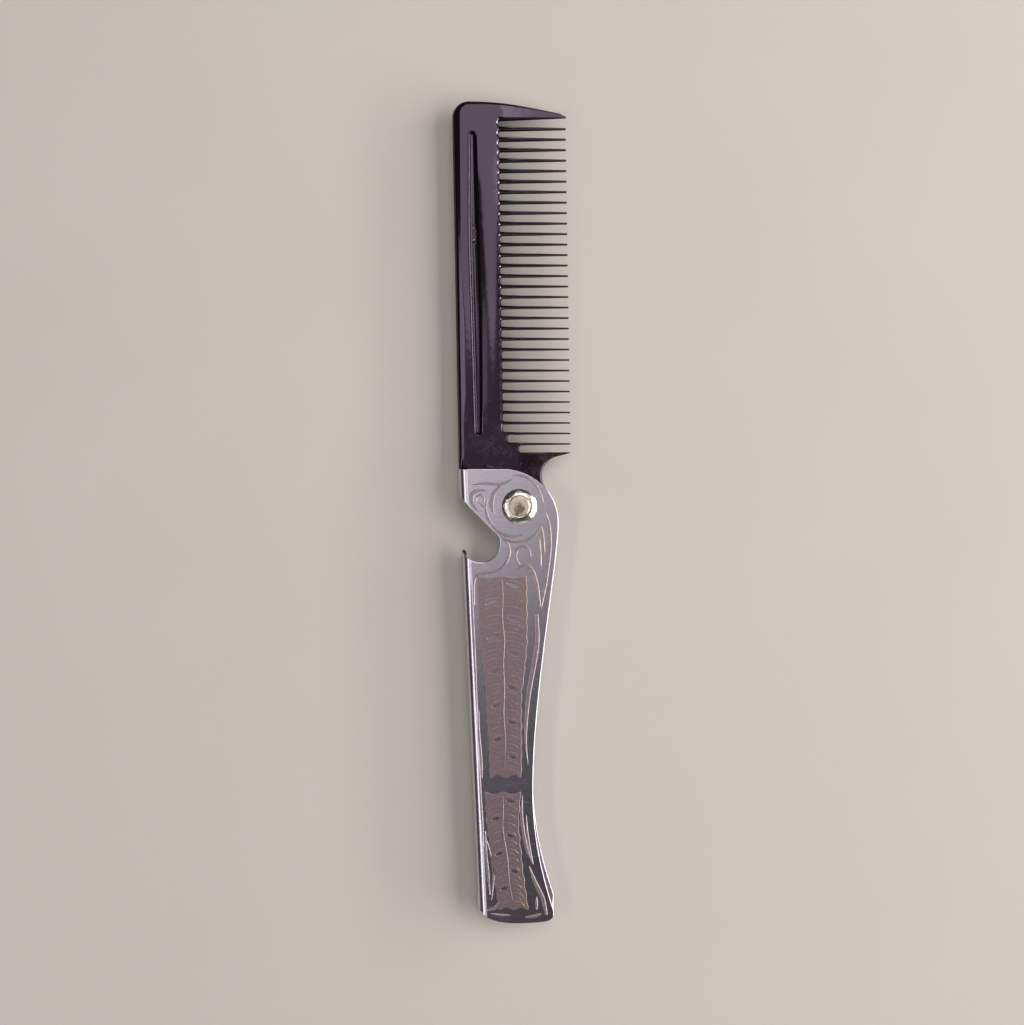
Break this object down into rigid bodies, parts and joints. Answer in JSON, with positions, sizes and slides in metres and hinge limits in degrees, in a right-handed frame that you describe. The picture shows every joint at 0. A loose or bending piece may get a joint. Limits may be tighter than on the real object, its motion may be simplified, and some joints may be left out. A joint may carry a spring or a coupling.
{
  "type": "folding beard comb",
  "caption": "Folding beard comb: a moulded comb turns on a rivet into a folded steel handle with a bottle-opener notch.",
  "frame": {"origin": "on the pivot axis, level with the flat of the rear rivet head that the comb rests on", "axes": "+Y from the pivot along the open comb, +X towards the tooth tips and the handle's open edge, +Z out of the front plate"},
  "size_m": [0.0316, 0.2186, 0.0075],
  "materials": {
    "handle_steel": "satin brushed stainless steel with a matt etched ornament",
    "comb_plastic": "glossy moulded plastic, near-black plum",
    "rivet_metal": "pale nickel-silver, polished round a matt centre disc",
    "washer_plastic": "plain natural plastic"
  },
  "bodies": {
    "handle": {"handle_shell": "handle_steel", "pivot_post": "rivet_metal", "pivot_cap": "rivet_metal", "front_washer": "washer_plastic", "rear_washer": "washer_plastic"},
    "comb": {"comb_back": "comb_plastic", "comb_teeth": "comb_plastic"}
  },
  "joints": [
    {"name": "comb_fold", "type": "hinge", "parent": "handle", "child": "comb", "pos_m": [0, 0, 0.00355], "axis": [0, 0, -1], "range_deg": [0, 178]}
  ]
}
